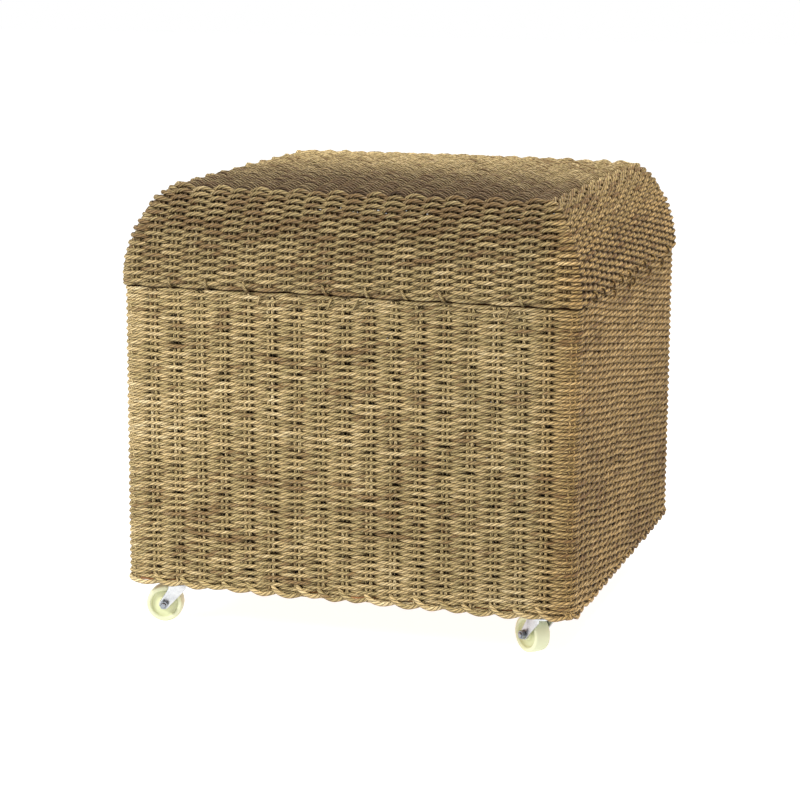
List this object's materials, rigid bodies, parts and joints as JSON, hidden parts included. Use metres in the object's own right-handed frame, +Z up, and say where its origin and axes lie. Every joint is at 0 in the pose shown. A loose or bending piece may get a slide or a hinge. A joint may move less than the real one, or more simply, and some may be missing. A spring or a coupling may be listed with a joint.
{
  "type": "storage ottoman",
  "caption": "Cube storage ottoman woven in seagrass rope over a timber frame, with a domed lid hinged at the back, a lid stay and small swivel casters.",
  "frame": {"origin": "on the floor under the middle of the cube", "axes": "+Z up, -Y out of the front, opposite the hinges, +X to the right of a person facing the front"},
  "size_m": [0.471, 0.4767, 0.4569],
  "materials": {
    "seagrass": "three-strand twisted seagrass rope in a close plain weave, straw to brown, dry and matt",
    "timber": "orange-brown stained softwood, thinly varnished",
    "plywood": "plain birch plywood, sanded; the base board stained orange-brown",
    "zinc_steel": "bright zinc-plated pressed steel",
    "cream_nylon": "cream moulded nylon, slightly yellow-green"
  },
  "bodies": {
    "base": {"body_weave": "seagrass", "corner_post_front_left": "timber", "corner_post_front_right": "timber", "corner_post_rear_left": "timber", "corner_post_rear_right": "timber", "bottom_rail_front": "timber", "bottom_rail_rear": "timber", "bottom_rail_left": "timber", "bottom_rail_right": "timber", "top_rail_front": "timber", "top_rail_rear": "timber", "top_rail_left": "timber", "top_rail_right": "timber", "base_panel": "plywood", "hinge_left_body_leaf": "zinc_steel", "hinge_left_pin": "zinc_steel", "hinge_right_body_leaf": "zinc_steel", "hinge_right_pin": "zinc_steel", "stay_screw_body": "zinc_steel", "caster_plate_front_left": "zinc_steel", "kingpin_front_left": "zinc_steel", "caster_plate_front_right": "zinc_steel", "kingpin_front_right": "zinc_steel", "caster_plate_rear_left": "zinc_steel", "kingpin_rear_left": "zinc_steel", "caster_plate_rear_right": "zinc_steel", "kingpin_rear_right": "zinc_steel"},
    "lid": {"lid_weave": "seagrass", "lid_deck": "plywood", "lid_rail_front": "timber", "lid_rail_rear": "timber", "lid_rail_left": "timber", "lid_rail_right": "timber", "lid_rib_front_left": "timber", "lid_rib_front_right": "timber", "lid_rib_rear_left": "timber", "lid_rib_rear_right": "timber", "hinge_left_lid_leaf": "zinc_steel", "hinge_right_lid_leaf": "zinc_steel", "stay_screw_lid": "zinc_steel"},
    "stay_arm": {"stay_arm": "zinc_steel"},
    "swivel_front_left": {"fork_front_left": "zinc_steel", "axle_bolt_front_left": "zinc_steel", "axle_nut_front_left": "zinc_steel"},
    "wheel_front_left": {"wheel_front_left": "cream_nylon"},
    "swivel_front_right": {"fork_front_right": "zinc_steel", "axle_bolt_front_right": "zinc_steel", "axle_nut_front_right": "zinc_steel"},
    "wheel_front_right": {"wheel_front_right": "cream_nylon"},
    "swivel_rear_left": {"fork_rear_left": "zinc_steel", "axle_bolt_rear_left": "zinc_steel", "axle_nut_rear_left": "zinc_steel"},
    "wheel_rear_left": {"wheel_rear_left": "cream_nylon"},
    "swivel_rear_right": {"fork_rear_right": "zinc_steel", "axle_bolt_rear_right": "zinc_steel", "axle_nut_rear_right": "zinc_steel"},
    "wheel_rear_right": {"wheel_rear_right": "cream_nylon"}
  },
  "joints": [
    {"name": "lid_hinge", "type": "hinge", "parent": "base", "child": "lid", "pos_m": [0, 0.2387, 0.35265], "axis": [-1, 0, 0], "range_deg": [0, 100]},
    {"name": "stay_pivot", "type": "hinge", "parent": "lid", "child": "stay_arm", "pos_m": [0.202, 0.14054, 0.37173], "axis": [-1, 0, 0], "range_deg": [-50, 0]},
    {"name": "caster_swivel_front_left", "type": "hinge", "parent": "base", "child": "swivel_front_left", "pos_m": [-0.192, -0.194, 0.0405], "axis": [0, 0, 1], "continuous": true},
    {"name": "wheel_spin_front_left", "type": "hinge", "parent": "swivel_front_left", "child": "wheel_front_left", "pos_m": [-0.2061, -0.19739, 0.019], "axis": [0.2334, -0.9724, 0], "continuous": true},
    {"name": "caster_swivel_front_right", "type": "hinge", "parent": "base", "child": "swivel_front_right", "pos_m": [0.192, -0.194, 0.0405], "axis": [0, 0, 1], "continuous": true},
    {"name": "wheel_spin_front_right", "type": "hinge", "parent": "swivel_front_right", "child": "wheel_front_right", "pos_m": [0.18073, -0.18488, 0.019], "axis": [-0.6293, -0.7771, 0], "continuous": true},
    {"name": "caster_swivel_rear_left", "type": "hinge", "parent": "base", "child": "swivel_rear_left", "pos_m": [-0.192, 0.194, 0.0405], "axis": [0, 0, 1], "continuous": true},
    {"name": "wheel_spin_rear_left", "type": "hinge", "parent": "swivel_rear_left", "child": "wheel_rear_left", "pos_m": [-0.18704, 0.20763, 0.019], "axis": [-0.9397, 0.342, 0], "continuous": true},
    {"name": "caster_swivel_rear_right", "type": "hinge", "parent": "base", "child": "swivel_rear_right", "pos_m": [0.192, 0.194, 0.0405], "axis": [0, 0, 1], "continuous": true},
    {"name": "wheel_spin_rear_right", "type": "hinge", "parent": "swivel_rear_right", "child": "wheel_rear_right", "pos_m": [0.17764, 0.19602, 0.019], "axis": [-0.1392, -0.9903, 0], "continuous": true}
  ],
  "couplings": [
    {"joint": "stay_pivot", "follows": "lid_hinge", "ratio": -0.5}
  ]
}
